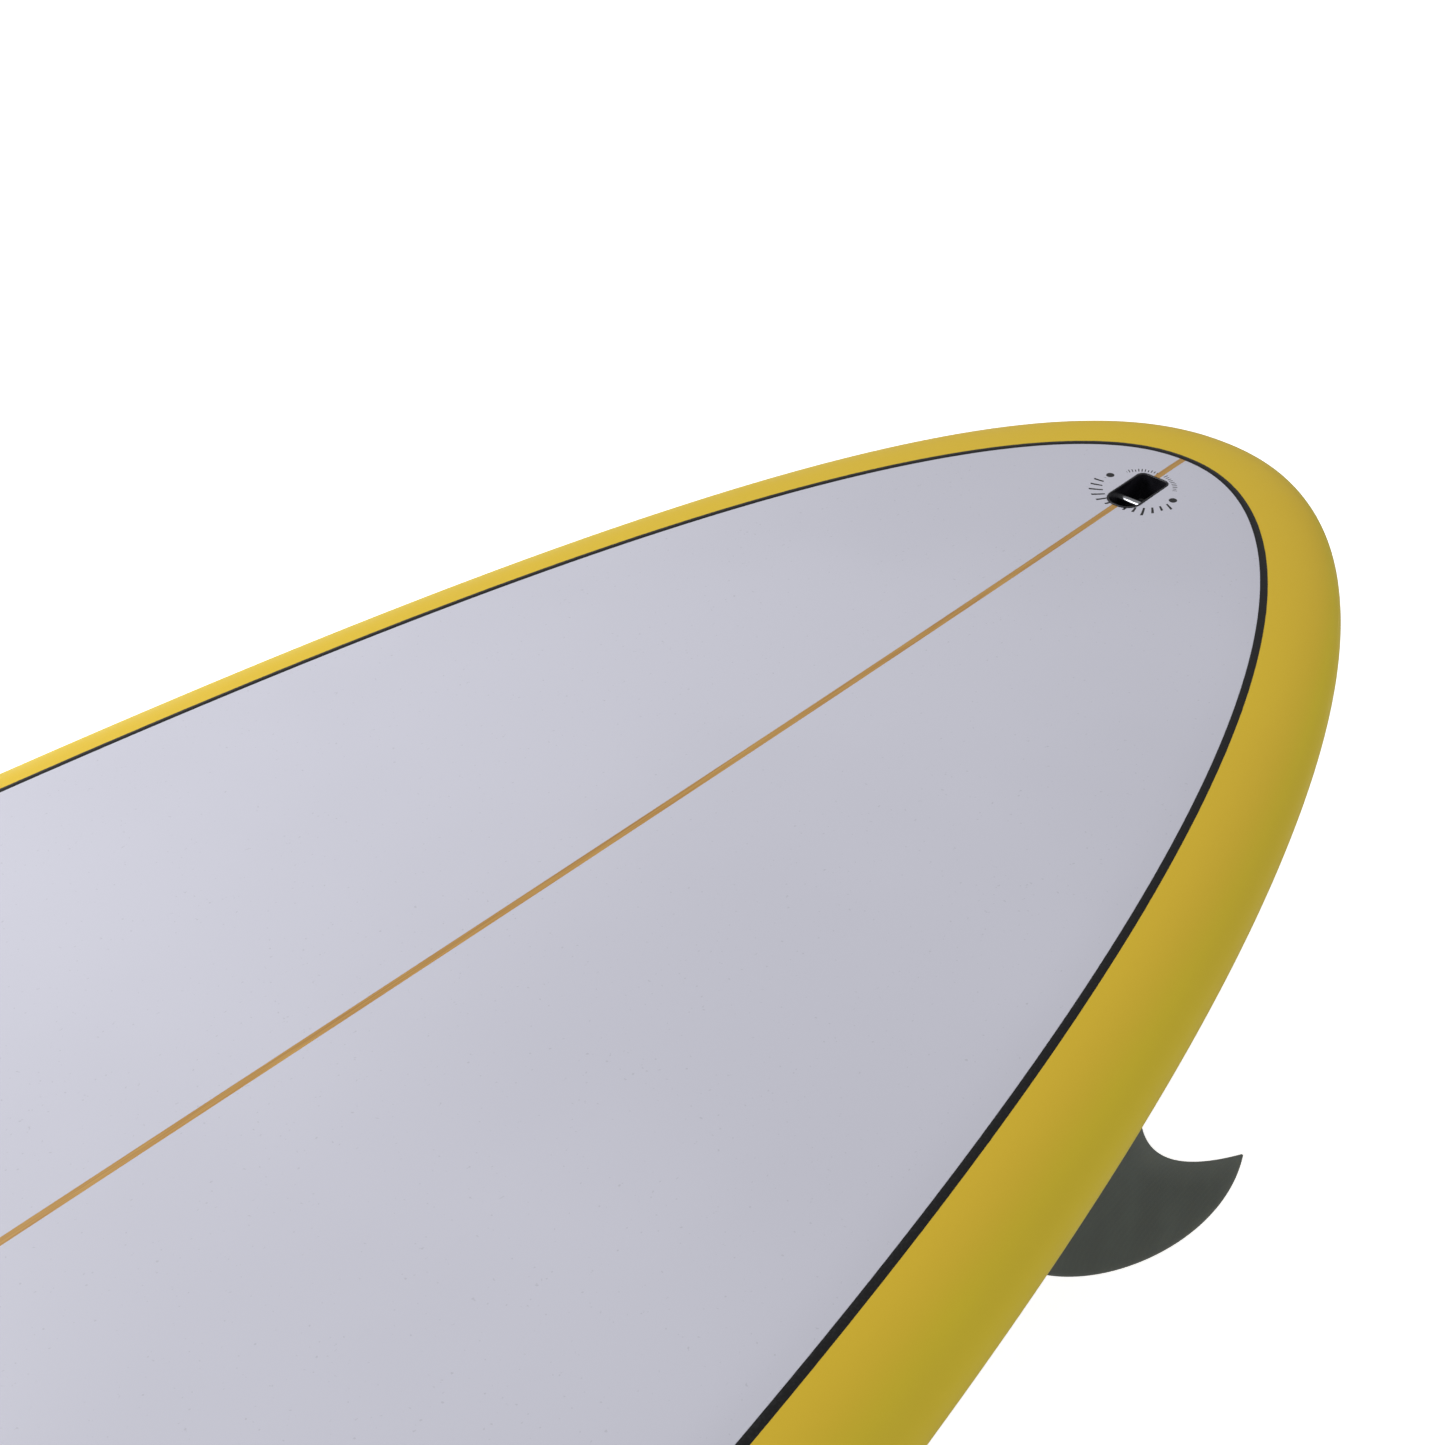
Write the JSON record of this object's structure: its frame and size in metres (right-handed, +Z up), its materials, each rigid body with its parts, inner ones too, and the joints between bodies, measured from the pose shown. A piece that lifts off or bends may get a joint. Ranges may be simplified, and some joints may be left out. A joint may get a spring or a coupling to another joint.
{
  "type": "longboard surfboard",
  "caption": "Rounded-tail longboard with a stringer, glassed deck and coloured rails, a leash plug and removable fins that give it grip and steering.",
  "frame": {"origin": "middle of the board's length and width, at the lowest point of the centre fin", "axes": "+X towards the nose, +Y to the rider's left, +Z up through the deck, belly level"},
  "size_m": [2.743, 0.594, 0.2616],
  "materials": {
    "foam": "matte",
    "wood": "satin",
    "deck_glass": "gloss",
    "rail_glass": "satin",
    "black_resin": "satin",
    "black_plastic": "gloss",
    "stainless": "polished",
    "fin_laminate": "satin",
    "brass": "satin"
  },
  "bodies": {
    "board": {"foam_core_left": "foam", "foam_core_right": "foam", "stringer": "wood", "deck_skin_left": "deck_glass", "deck_skin_right": "deck_glass", "tail_patch_left": "deck_glass", "tail_patch_right": "deck_glass", "belly_skin_left": "deck_glass", "belly_skin_right": "deck_glass", "rail_band_left": "rail_glass", "rail_band_right": "rail_glass", "pinline": "black_resin", "leash_plug_cup": "black_plastic", "leash_plug_bar": "stainless", "center_fin_box": "black_plastic", "side_fin_box_left": "black_plastic", "side_fin_box_right": "black_plastic"},
    "center_fin": {"center_fin": "fin_laminate", "center_fin_roll_pin": "brass", "center_fin_plate_nut": "stainless"},
    "center_fin_screw": {"center_fin_screw": "stainless"},
    "side_fin_left": {"side_fin_left": "fin_laminate"},
    "side_fin_right": {"side_fin_right": "fin_laminate"},
    "side_fin_set_screw_left": {"side_fin_set_screw_left": "stainless"},
    "side_fin_set_screw_right": {"side_fin_set_screw_right": "stainless"}
  },
  "joints": [
    {"name": "center_fin_slide", "type": "slide", "parent": "board", "child": "center_fin", "axis": [0.9959, 0, -0.0903], "range_m": [-0.038, 0.038]},
    {"name": "center_fin_screw_turn", "type": "hinge", "parent": "center_fin", "child": "center_fin_screw", "pos_m": [-1.02579, 0, 0.16414], "axis": [0.0903, 0, 0.9959], "continuous": true},
    {"name": "side_fin_left_pull_out", "type": "slide", "parent": "board", "child": "side_fin_left", "axis": [-0.1105, 0.1043, -0.9884], "range_m": [0, 0.03]},
    {"name": "side_fin_set_screw_left_turn", "type": "hinge", "parent": "board", "child": "side_fin_set_screw_left", "pos_m": [-0.94371, 0.18805, 0.16047], "axis": [0.1105, -0.1043, 0.9884], "continuous": true},
    {"name": "side_fin_right_pull_out", "type": "slide", "parent": "board", "child": "side_fin_right", "axis": [-0.1105, -0.1043, -0.9884], "range_m": [0, 0.03]},
    {"name": "side_fin_set_screw_right_turn", "type": "hinge", "parent": "board", "child": "side_fin_set_screw_right", "pos_m": [-0.94371, -0.18805, 0.16047], "axis": [0.1105, 0.1043, 0.9884], "continuous": true}
  ]
}
